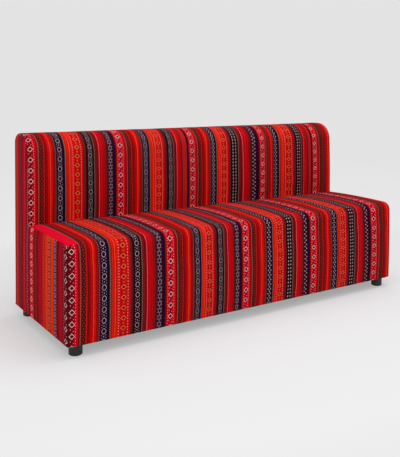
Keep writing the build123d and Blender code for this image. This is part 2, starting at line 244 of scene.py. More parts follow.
def stripes(recipe, across, draft):
    # The bands as colour ramps, each with no more stops than a ramp can hold
    whole, colour, start = draft["repeat"], None, 0.0
    bands = [(int(width), yarn) for width, yarn in (band.split() for band in draft["bands"].split(", "))]
    for first in range(0, len(bands), weaving["rampStops"]):
        place, stops = start, []
        for width, yarn in bands[first:first + weaving["rampStops"]]:
            stops.append((place / whole, yarns[yarn]))
            place += width
        ramp = recipe.put("ShaderNodeValToRGB", {"stops": stops}, {"Fac": across / whole})
        colour = ramp if colour is None else recipe.mix(across > start, colour, ramp)
        start = place
    return colour


# The motifs: small shapes that repeat along a stripe, each about its own middle across the cloth
def beat(along, pitch, shift=0.0):
    # How far a point lies from the nearest repeat
    return abs((along + shift) % pitch - pitch / 2)


def dots(across, along, middle, wide, long, pitch, shift=0.0):
    return (abs(across - middle) < wide / 2) * (beat(along, pitch, shift) < long / 2)


def linkDots(across, along, middle, wide, long, pitch, link):
    # Dots that join the links of a chain
    return dots(across, along, middle, wide, long, pitch / 4) * (beat(along, pitch) > link / 2)


def reachOf(across, along, middle, wide, long, pitch):
    return abs(across - middle) / (wide / 2), beat(along, pitch) / (long / 2)


def lozenge(across, along, middle, wide, long, pitch):
    over, up = reachOf(across, along, middle, wide, long, pitch)
    return over + up < 1.0


def diamond(across, along, middle, wide, long, pitch, line):
    # An outlined diamond
    over, up = reachOf(across, along, middle, wide, long, pitch)
    return abs(over + up - (1 - line)) < line


def ring(across, along, middle, wide, long, pitch, line):
    # An outlined eight-sided link
    over, up = reachOf(across, along, middle, wide, long, pitch)
    reach = over.recipe.math("MAXIMUM", over.recipe.math("MAXIMUM", over, up), (over + up) / weaving["linkCorner"])
    return abs(reach - (1 - line)) < line


def sprinkle(across, along, middle, wide, size, pitch):
    # Small spots in staggered rows over a band
    row = (along % (pitch * 2)) > pitch
    spot = (beat(across + row * (pitch * 0.6), pitch * 1.2) < size / 2) * (beat(along, pitch) < size / 2)
    return spot * (abs(across - middle) < wide / 2)


# Rows of motifs from the lowest up: shape, yarn, sizes, then the middles where the shape stands
mainDraft["motifs"] = [
    (dots, "redSpot", (7, 60, 60), 11), (lozenge, "heart", (19, 20, 47), 11),
    (diamond, "white", (23, 24, 47, 0.095), 11), (dots, "darkSpot", (5, 5, 47, 23.5), 11),
    (dots, "pinkWhite", (2.4, 4, 47, 20), 5.5), (dots, "pinkWhite", (2.4, 4, 47, 27), 16.5),
    (dots, "pinkWhite", (2.6, 4, 11.7), 25.5, 411), (dots, "beige", (2, 5, 10), 45.5),
    (dots, "darkSpot", (1.8, 5, 8), 38), (sprinkle, "darkSpot", (18, 6.4, 9), 59),
    (sprinkle, "darkSpot", (7, 4, 11), 65), (sprinkle, "oliveSpot", (14, 4, 11), 60),
    (dots, "darkSpot", (1.6, 5, 9), 86), (dots, "gold", (1.8, 4.4, 9), 101),
    (dots, "darkSpot", (1.8, 5, 9), 113, 173), (dots, "beige", (2, 5, 9.6), 126),
    (dots, "beige", (2.2, 5, 9), 167, 287), (dots, "gold", (1.4, 4, 9), 184),
    (dots, "pinkWhite", (2.8, 4.4, 11.7), 195, 227), (lozenge, "redSpot", (14, 15, 42), 211),
    (diamond, "gold", (20, 21, 42, 0.12), 211), (dots, "gold", (3, 4, 42, 21), 211),
    (dots, "darkSpot", (2, 5, 9), 236, 334), (dots, "darkSpot", (1.8, 4, 9), 302),
    (dots, "pinkWhite", (1.4, 5, 7), 312), (dots, "lilac", (3, 4.6, 30, 15), 373),
]
# The dark bands carry chains on the left half of the sofa and plain rows of spots on the right
mainDraft["leftMotifs"] = [
    (ring, "ash", (17, 23, 44, 0.085), 146), (linkDots, "lilac", (2.4, 3.8, 44, 22), 138, 154),
    (dots, "ash", (2.8, 4.2, 44, 22), 146), (ring, "ash", (17, 21, 42, 0.085), 266),
    (linkDots, "lilac", (2.4, 3.8, 42, 20), 258, 274), (dots, "ash", (2.8, 4.2, 42, 21), 266),
    (ring, "ash", (14, 19, 30, 0.07), 373), (dots, "lilac", (2.4, 3.8, 15), 364.5, 381.5),
]
mainDraft["rightMotifs"] = [
    (dots, "ash", (3.6, 6, 22), 139, 153), (dots, "ash", (4, 7, 22, 11), 146), (dots, "ash", (4, 7, 17), 259, 273),
    (dots, "ash", (3.6, 6, 20), 367), (dots, "ash", (3.6, 6, 20, 10), 378),
]
endDraft["motifs"] = [
    (sprinkle, "gold", (26, 2.4, 9), 50), (dots, "darkSpot", (2.4, 5, 9), 12, 64, 122, 146, 206, 545, 556, 586),
    (dots, "beige", (2.4, 4, 11.7), 29), (sprinkle, "navySpot", (30, 5, 8), 92),
    (dots, "lilac", (2.6, 4, 11.7), 88), (dots, "lilac", (2.6, 4, 11.7, 5.4), 99),
    (sprinkle, "darkSpot", (12, 3.4, 8), 166), (dots, "lilac", (3.4, 4.4, 11.7), 180),
    (dots, "ash", (3.4, 4.4, 11.7, 5.4), 190), (diamond, "white", (24, 27, 38, 0.12), 240),
    (dots, "lilac", (2.4, 4, 11.7), 154, 262, 530), (sprinkle, "darkSpot", (26, 4.4, 8), 278),
    (dots, "beige", (2.2, 5, 11.7), 296), (dots, "darkSpot", (2.6, 5, 9), 306, 352),
    (sprinkle, "redSpot", (16, 5, 8), 318), (dots, "pinkWhite", (2.6, 4.4, 11.7), 384),
    (dots, "beige", (2.6, 4.4, 11.7, 5.4), 393), (dots, "darkSpot", (2, 5, 9), 132, 214, 268, 404),
    (dots, "gold", (2, 5, 9), 413), (sprinkle, "darkSpot", (42, 4, 8), 455), (ring, "gold", (18, 22, 30, 0.13), 452),
    (dots, "pinkWhite", (2, 4, 11.7), 225, 256, 438, 467, 608), (dots, "navySpot", (14, 60, 60), 518),
    (ring, "ash", (15, 20, 26, 0.12), 518), (dots, "redSpot", (2.4, 5, 10), 572),
    (lozenge, "navySpot", (20, 23, 47), 626), (diamond, "white", (22, 24, 47, 0.115), 626),
    (dots, "ash", (2.4, 4, 47, 20), 620), (dots, "ash", (2.4, 4, 47, 27), 632),
    (dots, "darkSpot", (2.2, 5, 9), 336, 656, 684), (sprinkle, "lilac", (12, 2.8, 9), 668),
]


def weave(u, v):
    # Warp ridges and weft picks
    warp, weft = (beat(way, pitch) / (pitch / 2) for way, pitch in ((u, weaving["warp"]), (v, weaving["weft"])))
    return warp * 0.6 + weft * 0.4


def patched(recipe, colour, patches, u, v):
    # Where the cut cloth departs from the draft: from, to, how far up it begins, share and yarn
    for start, end, above, share, yarn in patches:
        colour = recipe.mix((u > start) * (u < end) * (v > above) * share, colour, yarns[yarn])
    return colour


def clothOn(name, draft, sheen, ground=(), cover=()):
    recipe = newSkin(name)
    u, v, _ = recipe.parts(recipe.put("ShaderNodeUVMap", {"uv_map": "cloth"}))
    u, v = u * 1000, v * 1000

    def grain(acrossScale, alongScale, detail=2.0, rough=0.5):
        return recipe.noise(recipe.point(u * acrossScale, v * alongScale), 1.0, detail, rough)

    wander = grain(0.02, 0.006, 1.0) * weaving["wander"] - weaving["wander"] / 2
    across = (u + wander) % draft["repeat"]
    colour = patched(recipe, stripes(recipe, across, draft), ground, u, v)
    thread, streak, picks = grain(0.9, 0.018), grain(0.26, 0.0016, 2.0, 0.65), grain(0.12, 0.75)
    slub, fleck = grain(0.3, 0.14, 1.0), grain(0.11, 0.17)
    pin = (beat(u, 8.3) < 1.3) * (beat(v, 4.6) < 1.6)
    shade = thread * 0.4 + streak * 1.5 + picks * 0.3 + slub * 0.5 + fleck * 0.7 - pin * 0.28 - 0.66
    colour = recipe.mix(1.0, colour, recipe.point(shade, shade, shade), "MULTIPLY")
    worn = picks * 0.5 + slub * 0.5 + 0.5
    right = u > form["half"] * 1000
    for rows, share in (("motifs", 1.0), ("leftMotifs", 1 - right), ("rightMotifs", right)):
        for shape, yarn, sizes, *middles in draft.get(rows, []):
            for middle in middles:
                ragged = shape(across, v, middle, *sizes) * share * worn
                colour = recipe.mix(recipe.math("MINIMUM", ragged, 1.0), colour, yarns[yarn])
    colour = patched(recipe, colour, cover, u, v)
    height = weave(u, v) * 0.7 + picks * 0.6 + thread * 0.3
    return recipe.finish(
        colour, thread * 0.12 + 0.82, recipe.bump(height, 0.0006, 0.55),
        {"Specular IOR Level": 0.03, "Sheen Weight": sheen, "Sheen Roughness": 0.4, "Sheen Tint": tone(255, 80, 90)},
    )


# The first column of motifs and the last speckled band stand on dark cloth. Two thin dark bands are missing
# from the back, and the top of the seat is plain as far as its first dark band.
always, lastSpeckled = -99, (1718, 1738, -99, 0.65, "umber")
seatGround = [(always, 20, always, 0.9, "maroon"), lastSpeckled]
seatCover = [(always, 44, 430, 1.0, "plainCrimson")]
backGround = [(always, 20, always, 0.55, "maroon"), lastSpeckled]
backCover = [(770, 802, always, 1.0, "back"), (1602, 1628, always, 1.0, "back")]
print("cloth drafts ready")


# Shapes. A section is a list of stations (y, z, a, b, c): its place in the middle of the sofa, and how it
# moves in as the end round (a), the hem round (b) and the hidden inside (c) draw in near an end.
def roundIn(x, radius):
    past = max(0.0, min(abs(x) - (form["half"] - radius), radius))
    return radius - math.sqrt(radius * radius - past * past)


def placed(station, x, lip=0.0):
    y, z, a, b, c = station
    ends, hem = roundIn(x, form["endRound"]) + lip, roundIn(x, form["hemRound"])
    inside = max(0.0, ends - form["insideLag"])
    return Vector((x, y + a[0] * ends + b[0] * hem + c[0] * inside, z + a[1] * ends + b[1] * hem + c[1] * inside))


still, toFront, toRear, toFloor, upward = (0.0, 0.0), (-1.0, 0.0), (1.0, 0.0), (0.0, -1.0), (0.0, 1.0)


def at(y, z, a=still, b=still, c=still):
    return (y, z, a, b, c)


def along(start, finish, a=still, b=still, c=still, step=form["step"]):
    # Stations on a straight run, without its last point
    (y0, z0), (y1, z1) = start, finish
    count = max(1, round(math.dist(start, finish) / step))
    return [at(y0 + (y1 - y0) * i / count, z0 + (z1 - z0) * i / count, a, b, c) for i in range(count)]


def turned(centre, radius, fromAngle, toAngle, count, hem=None):
    # Stations round a corner; angles in degrees from +Y towards +Z
    made = []
    for i in range(count):
        angle = math.radians(fromAngle + (toAngle - fromAngle) * i / count)
        way = (math.cos(angle), math.sin(angle))
        a, b = (-way[0], -way[1]), still
        if hem is not None:
            a, b = (hem, 0.0), (-hem - way[0], -way[1])
        made.append(at(centre[0] + way[0] * radius, centre[1] + way[1] * radius, a, b))
    return made


def frontHem():
    return turned((frontFootY, hemZ), form["hemRound"], -90, -180, 4, hem=1.0)


def rearHem():
    return turned((rearFootY, hemZ), form["hemRound"], 0, -90, 4, hem=-1.0)


def seatFace(heel):
    # Up the front, over the nose and back along the top to the heel, with a slight bow
    nose, crevice, bottom = form["nose"], form["crevice"], form["bottom"]
    run = along((faceY, hemZ), (faceY, flatZ - nose), a=toRear)
    run += turned((faceY + nose, flatZ - nose), nose, 180, 90, 7)
    run += along((faceY + nose, flatZ), (heel, flatZ), a=toFloor)
    middleZ, halfZ = (bottom + flatZ) / 2, (flatZ - bottom) / 2
    middleY, halfY = (faceY + crevice) / 2, (crevice - faceY) / 2
    bowed = []
    for y, z, a, b, c in run:
        ahead = max(0.0, min(1.0, (0.0 - y) / form["bowReach"]))
        lifted = max(0.0, min(1.0, (z - form["crownFrom"]) / form["crownReach"]))
        front = max(0.0, 1 - ((z - middleZ) / halfZ) ** 2) * form["frontBow"] * ahead
        above = max(0.0, 1 - ((y - middleY) / halfY) ** 2) * form["crown"] * lifted
        bowed.append((y - front, z + above, a, b, c))
    return bowed


def backLine(z):
    # The face of the back and how steeply it leans
    rise, lean, bow = form["top"] - form["seatTop"], form["lean"], form["backBow"] * 4
    share = (z - form["seatTop"]) / rise
    if share <= 0:
        return form["crevice"], 0.0
    y = form["crevice"] + lean * share - bow * share * (1 - share)
    return y, math.atan((lean - bow * (1 - 2 * share)) / rise)


def backFace(low):
    # Up the face of the back, over the round top and down to the crest seam
    radius, touch, top = form["bullnose"], form["top"] - form["bullnose"], form["top"]
    for _ in range(6):
        touch = top - radius + radius * math.sin(backLine(touch)[1])
    touchY, tilt = backLine(touch)
    count = round((touch - low) / form["step"])
    run = []
    for i in range(count):
        z = low + (touch - low) * i / count
        y, lean = backLine(z)
        run.append(at(y, z, (math.cos(lean), -math.sin(lean))))
    centre = (touchY + radius * math.cos(tilt), top - radius)
    run += turned(centre, radius, 180 - math.degrees(tilt), 90, 13)
    crest = (form["rear"] - form["crest"], crestZ)
    run += along((centre[0], top), (crest[0], top), a=toFloor)
    return run + turned(crest, form["crest"], 90, 0, 8)


def columnsAcross():
    # Where the sections stand along the sofa: close together at the round ends, then the seam's lip
    flat = form["half"] - form["endRound"]
    count = round(flat / form["step"])
    spots = [(flat * i / count, 0.0) for i in range(count)]
    spots += [(flat + (seamX - flat) * share, 0.0) for share in (0.0, 0.35, 0.62, 0.82, 0.94)]
    spots += [(seamX - 0.0002, 0.0006), (seamX - 0.0001, 0.0026)]
    return [(-x, lip) for x, lip in reversed(spots[1:])] + spots


def drawn(knots, x):
    # Place across the cloth draft for a place along the sofa, both in metres
    place = (x + form["half"]) * 1000
    for (x0, u0), (x1, u1) in zip(knots, knots[1:]):
        if place <= x1 or (x1, u1) == knots[-1]:
            return (u0 + (u1 - u0) * (place - x0) / (x1 - x0)) / 1000


def addPiece(name, mesh, material):
    piece = bpy.data.objects.new(name, mesh)
    bpy.context.scene.collection.objects.link(piece)
    mesh.materials.append(material)
    for face in mesh.polygons:
        face.use_smooth = True
    return piece


def sewnPiece(name, points, faces, marks, material):
    # marks holds each point's place on the cloth
    mesh = bpy.data.meshes.new(name)
    mesh.from_pydata([tuple(p) for p in points], [], faces)
    work = bmesh.new()
    work.from_mesh(mesh)
    cloth = work.loops.layers.uv.new("cloth")
    for face in work.faces:
        for loop in face.loops:
            loop[cloth].uv = marks[loop.vert.index]
    bmesh.ops.triangulate(work, faces=[f for f in work.faces if len(f.verts) > 4])
    bmesh.ops.recalc_face_normals(work, faces=work.faces)
    work.to_mesh(mesh)
    work.free()
    return addPiece(name, mesh, material)


def strips(rows, size):
    # Quads that join each closed row of points to the next
    return [
        (r * size + i, r * size + (i + 1) % size, (r + 1) * size + (i + 1) % size, (r + 1) * size + i)
        for r in range(rows - 1) for i in range(size)
    ]


def sweptRun(name, section, shown, knots, startV, material):
    # A closed run of stuffed cloth along the sofa; the first shown stations are its outer face
    columns = columnsAcross()
    lengths = [startV]
    for a, b in zip(section, section[1:]):
        lengths.append(lengths[-1] + math.dist(a[:2], b[:2]))
    points, marks = [], []
    for x, lip in columns:
        for i, station in enumerate(section):
            points.append(placed(station, x, lip if i < shown else 0.0))
            marks.append((drawn(knots, x), lengths[i]))
    size = len(section)
    faces = strips(len(columns), size) + [tuple(range(size))]
    faces.append(tuple(reversed(range((len(columns) - 1) * size, len(columns) * size))))
    return sewnPiece(name, points, faces, marks, material)


# Each section also says how many of its stations belong to the outer face
def seatSection():
    low, lined, deck, padBack = form["bottom"], form["bottom"] + form["cloth"], form["deck"], form["padBack"]
    heel, turn = form["crevice"] - form["heelGap"], form["heelTurn"]
    outer = along((-hemY, low), (frontFootY, low), b=upward, step=form["hemStep"]) + frontHem() + seatFace(heel - turn)
    outer += [at(y, z, toFloor) for y, z, *_ in turned((heel - turn, flatZ - turn), turn, 90, 0, 4)]
    outer += along((heel, flatZ - turn), (heel, deck + 0.002), step=0.02)
    inner = along((heel, deck), (padBack, deck), step=form["insideStep"])
    inner += along((padBack, deck), (padBack, lined), c=toRear, step=form["insideStep"])
    inner += along((padBack + 0.0005, lined), (-hemY, lined), step=0.01)
    return outer + inner + [at(-hemY, lined)], len(outer)


def backSection():
    rear, railTop, foamBack, deck = (form[k] for k in ("rear", "railTop", "foamBack", "deck"))
    outer = backFace(deck + 0.001)
    outer += [at(rear, crestZ + 0.0012, toFront), at(rear - 0.0016, crestZ + 0.0006, toFront)]
    inner = [at(rear - 0.0017, railTop, toFront)]
    inner += along((form["rearPad"] - 0.006, railTop), (foamBack, railTop), step=0.04)
    inner += along((foamBack, railTop), (foamBack, deck + 0.0005), step=form["insideStep"])
    return outer + inner + [at(foamBack, deck + 0.0005)], len(outer)


def rearSection():
    low, lined, rear = form["bottom"], form["bottom"] + form["cloth"], form["rear"]
    rearPad, padTop = form["rearPad"], form["railTop"] - 0.001
    outer = [at(rear - 0.0016, crestZ - 0.0004, toFront), at(rear - 0.0002, crestZ - 0.0012, toFront)]
    outer += along((rear, crestZ - 0.004), (rear, hemZ), a=toFront) + rearHem()
    outer += along((rearFootY, low), (hemY, low), b=upward, step=form["hemStep"]) + [at(hemY, low, b=upward)]
    inner = [at(hemY, lined)]
    inner += along((rearPad, lined), (rearPad, padTop), c=toFront, step=form["insideStep"])
    return outer + inner + [at(rearPad, padTop, c=toFront)], len(outer)


def endOutline():
    # Round the L of an end: front hem, front, nose, seat, inside corner, back, top, rear, rear hem, underside
    loop = frontHem() + seatFace(form["crevice"]) + [at(form["crevice"], flatZ, (1.0, -1.0))]
    loop += backFace(flatZ + 0.012)
    loop += along((form["rear"], crestZ), (form["rear"], hemZ), a=toFront) + rearHem()
    return loop + along((rearFootY, form["bottom"]), (frontFootY, form["bottom"]), b=upward)


def insideOf(spot, loop):
    y, z = spot
    hit = False
    for (y0, z0), (y1, z1) in zip(loop, loop[1:] + loop[:1]):
        if (z0 > z) != (z1 > z) and y < (y1 - y0) * (z - z0) / (z1 - z0) + y0:
            hit = not hit
    return hit


def edgeGap(spot, loop):
    best = 9.0
    for (y0, z0), (y1, z1) in zip(loop, loop[1:] + loop[:1]):
        dy, dz = y1 - y0, z1 - z0
        share = max(0.0, min(1.0, ((spot[0] - y0) * dy + (spot[1] - z0) * dz) / max(dy * dy + dz * dz, 1e-12)))
        best = min(best, math.hypot(spot[0] - y0 - dy * share, spot[1] - z0 - dz * share))
    return best


def filled(loop, step):
    # Triangles over a flat outline, with a grid of points inside it
    spots = [Vector(p) for p in loop]
    ys, zs = [p[0] for p in loop], [p[1] for p in loop]
    z, row = min(zs) + step / 2, 0
    while z < max(zs):
        y = min(ys) + step / 2 + (step / 2 if row % 2 else 0)
        while y < max(ys):
            if insideOf((y, z), loop) and edgeGap((y, z), loop) > step * 0.55:
                spots.append(Vector((y, z)))
            y += step
        z += step * 0.87
        row += 1
    edges = [(i, (i + 1) % len(loop)) for i in range(len(loop))]
    found, _, faces, source, _, _ = delaunay_2d_cdt(spots, edges, [], 1, 1e-7)
    return found, faces, source


def capX(y, z, loop, outer):
    # The outside of an end swells away from its edge; its inside lies against the frame or its own seam
    if outer:
        gap = min(1.0, edgeGap((y, z), loop) / form["swellReach"])
        return form["half"] + form["endSwell"] * (1 - (1 - gap) ** 2)
    base = form["padBack"] - 0.002 < y < form["rearPad"] + 0.002 and z < form["deck"] - 0.004
    back = form["foamBack"] < y < form["rearPad"] and z < form["railTop"] - 0.006
    return form["frameHalf"] if base or back else seamX + 0.0006


def endPanel(name, side, material):
    outline = endOutline()
    size, radius, half = len(outline), form["endRound"], form["half"]
    rings = [(seamX + 0.0006, 0.0062), (seamX + 0.0002, 0.0026), (seamX + 0.0004, 0.0006)]
    rings += [(half - radius + radius * math.sin(math.radians(t)), 0.0) for t in (46, 52, 58, 65, 73, 81, 90)]
    points = [placed(s, x, lip) for x, lip in rings for s in outline]
    faces = strips(len(rings), size)
    for base in ((len(rings) - 1) * size, 0):
        loop = [(p.y, p.z) for p in points[base:base + size]]
        found, tris, source = filled(loop, form["step"])
        number = {}
        for i, (y, z) in enumerate(found):
            if i < len(source) and source[i] and source[i][0] < size:
                number[i] = base + source[i][0]
            else:
                number[i] = len(points)
                points.append(Vector((capX(y, z, loop, base > 0), y, z)))
        faces += [tuple(number[k] for k in tri) for tri in tris]
    # The hem turned in under the frame
    first, low = len(points), form["bottom"]
    ys, xs = (-hemY + 0.0005, hemY - 0.0005), (hemX, seamX - 0.001)
    points += [Vector((x, y, z)) for z in (low, low + form["cloth"]) for y in ys for x in xs]
    for corner in ((0, 1, 3, 2), (4, 6, 7, 5), (0, 4, 5, 1), (2, 3, 7, 6), (0, 2, 6, 4), (1, 5, 7, 3)):
        faces.append(tuple(first + k for k in corner))
    marks = [(form["rear"] - p.y, p.z + half - p.x) for p in points]
    return sewnPiece(name, [Vector((p.x * side, p.y, p.z)) for p in points], faces, marks, material)


settling = {
    "frames": 20, "edgeFade": 0.07, "unevenness": 0.0007, "rippleScale": 9.0,
    "cloth": {
        "vertex_group_mass": "held", "quality": 4, "mass": 0.4, "tension_stiffness": 25, "compression_stiffness": 25,
        "shear_stiffness": 15, "bending_stiffness": 8, "use_pressure": True, "uniform_pressure_force": 4.0,
    },
}


def settle(piece, free, cap):
    # The cloth swells over its stuffing between the seams; free gives how much each loose point may move
    mesh, scene = piece.data, bpy.context.scene
    before = [v.co.copy() for v in mesh.vertices]
    normals = [v.normal.copy() for v in mesh.vertices]
    moved = before
    held = piece.vertex_groups.new(name="held")
    held.add([i for i in range(len(before)) if free.get(i, 0) <= 0], 1.0, "REPLACE")
    cloth = piece.modifiers.new("cloth", "CLOTH")
    for key, value in settling["cloth"].items():
        setattr(cloth.settings, key, value)
    cloth.settings.effector_weights.gravity = 0
    cloth.collision_settings.use_collision = False
    cloth.point_cache.frame_start, cloth.point_cache.frame_end = 1, settling["frames"]
    for step in range(1, settling["frames"] + 1):
        scene.frame_set(step)
    done = piece.evaluated_get(bpy.context.evaluated_depsgraph_get())
    moved = [v.co.copy() for v in done.to_mesh().vertices]
    done.to_mesh_clear()
    piece.modifiers.remove(cloth)
    piece.vertex_groups.remove(held)
    scene.frame_set(1)
    furthest = 0.0
    for i, allowed in free.items():
        shift = moved[i] - before[i]
        furthest = max(furthest, shift.length)
        shift *= cap * allowed / (shift.length + cap)
        ripple = noise.noise(before[i] * settling["rippleScale"]) * settling["unevenness"] * allowed
        mesh.vertices[i].co = before[i] + shift + normals[i] * ripple
    mesh.update()
    print(piece.name, "settled; furthest free point", round(furthest * 1000, 1), "mm")


def ease(share):
    return math.sin(share * math.pi / 2)


def looseOn(section, first, last):
    # The free points of a run: its face between two stations, easing to nothing at the seams
    lengths, total = [], 0.0
    for a, b in zip(section[first:last], section[first + 1:last + 1]):
        lengths.append(total)
        total += math.dist(a[:2], b[:2])
    free = {}
    for c, (x, _) in enumerate(columnsAcross()):
        inward = min(1.0, max(0.0, seamX - abs(x)) / settling["edgeFade"])
        for i, place in zip(range(first, last), lengths):
            onward = min(1.0, min(place, total - place) / settling["edgeFade"])
            if inward * onward > 0.001:
                free[c * len(section) + i] = ease(inward) * ease(onward)
    return free


seatCloth = clothOn("seatCloth", mainDraft, 0.04, seatGround, seatCover)
backCloth = clothOn("backCloth", mainDraft, 0.06, backGround, backCover)
endCloth = clothOn("endCloth", endDraft, 0.03)
print("cloth materials made")

seatStations, seatShown = seatSection()
backStations, backShown = backSection()
rearStations, rearShown = rearSection()
seatStuffed = sweptRun("seatUpholstery", seatStations, seatShown, mainDraft["columns"]["seat"], 0.0, seatCloth)
backStuffed = sweptRun("backUpholstery", backStations, backShown, mainDraft["columns"]["back"], 0.3, backCloth)
rearStuffed = sweptRun("rearUpholstery", rearStations, rearShown, mainDraft["columns"]["back"], 1.2, backCloth)
leftPanel = endPanel("leftEndPanel", -1, endCloth)
rightPanel = endPanel("rightEndPanel", 1, endCloth)
print("upholstery made")

settle(seatStuffed, looseOn(seatStations, 8, seatShown - 8), 0.004)
settle(backStuffed, looseOn(backStations, 12, backShown - 2), 0.004)
settle(rearStuffed, looseOn(rearStations, 2, rearShown - 6), 0.003)
for panel in (leftPanel, rightPanel):
    swell = {v.index: (abs(v.co.x) - form["half"]) / form["endSwell"] for v in panel.data.vertices}
    free = {i: ease(max(0.0, min(1.0, share))) for i, share in swell.items()}
    settle(panel, {i: share for i, share in free.items() if share > 0.001}, 0.003)
print("cloth settled")


def declare(piece, slot, *stands):
    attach(piece, "root")
    if stands:
        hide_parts(*stands)


def finishStuffed(piece, fill, *stands):
    soft = piece.modifiers.new("smooth", "SUBSURF")
    soft.levels = soft.render_levels = 1
    soft.use_limit_surface = False
    declare(piece, "striped_cloth", *stands)


finishStuffed(seatStuffed, 0.95, "seat_cover", "seat_foam", "front_pad")
finishStuffed(backStuffed, 0.95, "back_cover", "back_foam", "crest_foam")
finishStuffed(rearStuffed, 0.9, "outside_back_cover", "rear_wadding")
finishStuffed(leftPanel, 0.9, "side_cover_left", "base_side_pad_left", "back_side_pad_left")
finishStuffed(rightPanel, 0.9, "side_cover_right", "base_side_pad_right", "back_side_pad_right")


# The cloth tacked under the frame and the felt over the springs
under = {"half": 0.886, "front": -0.311, "rear": 0.311, "low": 0.047, "thick": 0.0007, "sag": 0.0012, "cells": (96, 34)}
feltPad = {
    "half": 0.8875, "front": -0.3128, "rear": 0.1308, "low": 0.2969, "thick": 0.0029, "sag": 0.0, "cells": (90, 22),
}


def clothSheet(name, size, material):
    half, front, rear, (countX, countY) = size["half"], size["front"], size["rear"], size["cells"]
    points, faces = [], []
    for layer in (0.0, size["thick"]):
        for i in range(countX + 1):
            for j in range(countY + 1):
                x, y = half * (2 * i / countX - 1), front + (rear - front) * j / countY
                droop = size["sag"] * (1 - (x / half) ** 2) * (1 - (y / rear) ** 2)
                droop *= 0.6 + 0.4 * noise.noise(Vector((x * 5, y * 5, 0)))
                points.append(Vector((x, y, size["low"] + layer - droop)))
    row, sheet = countY + 1, (countX + 1) * (countY + 1)
    for i in range(countX):
        for j in range(countY):
            quad = (i * row + j, i * row + j + 1, (i + 1) * row + j + 1, (i + 1) * row + j)
            faces.append(quad)
            faces.append(tuple(sheet + k for k in reversed(quad)))
    rim = [i * row for i in range(countX)] + [countX * row + j for j in range(countY)]
    rim += [i * row + countY for i in range(countX, 0, -1)] + list(range(countY, 0, -1))
    for a, b in zip(rim, rim[1:] + rim[:1]):
        faces.append((a, b, b + sheet, a + sheet))
    return sewnPiece(name, points, faces, [(p.x, p.y) for p in points], material)


def plainCloth(name, dark, light, grain, roughness, depth):
    recipe = newSkin(name)
    where = recipe.objectPoint()
    fibre = recipe.noise(where, grain, 4.0, 0.7)
    cloud = recipe.noise(where, 14.0, 2.0)
    colour = recipe.mix(fibre * 0.6 + cloud * 0.4, dark, light)
    return recipe.finish(colour, fibre * 0.1 + roughness, recipe.bump(fibre, depth), {"Specular IOR Level": 0.2})


underBlack = plainCloth("underCloth", tone(14, 14, 15), tone(44, 44, 47), 900.0, 0.85, 0.0004)
feltGrey = plainCloth("wovenFelt", tone(82, 78, 74), tone(138, 130, 124), 500.0, 0.9, 0.0008)
underCloth = clothSheet("underCloth", under, underBlack)
declare(underCloth, "dust_cloth", "dust_cover")
springFelt = clothSheet("springFelt", feltPad, feltGrey)
declare(springFelt, "felt", "seat_felt")
print("under cloth and felt made")


# Wood, steel and plastic for the frame, the springs and the feet
def woodFinish(name, dark, light, grainAxis, pores):
    recipe = newSkin(name)
    x, y, z = recipe.parts(recipe.objectPoint())
    long = {"x": (x * 3, y * 60, z * 60), "z": (x * 60, y * 60, z * 3)}[grainAxis]
    grain = recipe.noise(recipe.point(*long), 1.0, 5.0, 0.6)
    fine = recipe.noise(recipe.point(*[part * pores for part in long]), 1.0, 2.0)
    colour = recipe.mix(grain * 0.7 + fine * 0.3, dark, light)
    return recipe.finish(colour, fine * 0.15 + 0.55, recipe.bump(fine, 0.0003), {"Specular IOR Level": 0.3})


def plyFinish(name):
    recipe = newSkin(name)
    x, y, z = recipe.parts(recipe.objectPoint())
    grain = recipe.noise(recipe.point(x * 60, y * 60, z * 4), 1.0, 5.0, 0.6)
    layer = beat(x * 1000, 2.8) / 1.4
    edge = (layer > 0.5) * 0.35
    colour = recipe.mix(grain * 0.7 + edge, tone(196, 160, 112), tone(150, 108, 66))
    return recipe.finish(colour, grain * 0.1 + 0.6, recipe.bump(grain, 0.0003), {"Specular IOR Level": 0.3})


def steelFinish(name, dark, light, roughness):
    recipe = newSkin(name)
    where = recipe.objectPoint()
    cloud, scratch = recipe.noise(where, 40.0, 3.0), recipe.noise(where, 600.0, 2.0)
    colour = recipe.mix(cloud * 0.7 + scratch * 0.3, dark, light)
    return recipe.finish(colour, scratch * 0.2 + roughness, recipe.bump(scratch, 0.0001), {"Metallic": 1.0})


def plasticFinish(name, dark, light, roughness):
    recipe = newSkin(name)
    where = recipe.objectPoint()
    grain, cloud = recipe.noise(where, 1400.0, 2.0), recipe.noise(where, 30.0, 3.0)
    colour = recipe.mix(cloud, dark, light)
    bump = recipe.bump(grain, 0.0001, 0.6)
    return recipe.finish(colour, cloud * 0.15 + roughness, bump, {"Specular IOR Level": 0.45})


finishes = {
    "softwood": woodFinish("pineFrame", tone(186, 142, 88), tone(222, 186, 132), "x", 3.0),
    "plywood": plyFinish("birchPly"),
    "hardboard": woodFinish("hardboard", tone(96, 62, 38), tone(124, 84, 54), "z", 2.0),
    "spring": steelFinish("springSteel", tone(70, 70, 74), tone(120, 120, 126), 0.35),
    "zinc": steelFinish("zincSteel", tone(160, 162, 166), tone(206, 208, 212), 0.3),
    "foot": plasticFinish("blackFoot", tone(8, 8, 9), tone(18, 18, 19), 0.42),
    "glide": plasticFinish("feltGlide", tone(34, 33, 32), tone(56, 54, 52), 0.7),
}
# The first of these that stands in a node's name gives its finish
finishOf = {
    "rail": "softwood", "corner_block": "softwood", "former": "plywood", "back_panel": "plywood",
    "foot_plate": "plywood", "rear_board": "hardboard", "seat_spring": "spring", "spring_tie": "spring",
    "spring_clips": "zinc", "frame_screws": "zinc", "foot_bolts": "zinc", "tee_nuts": "zinc",
    "foot_glides": "glide", "foot_": "foot",
}


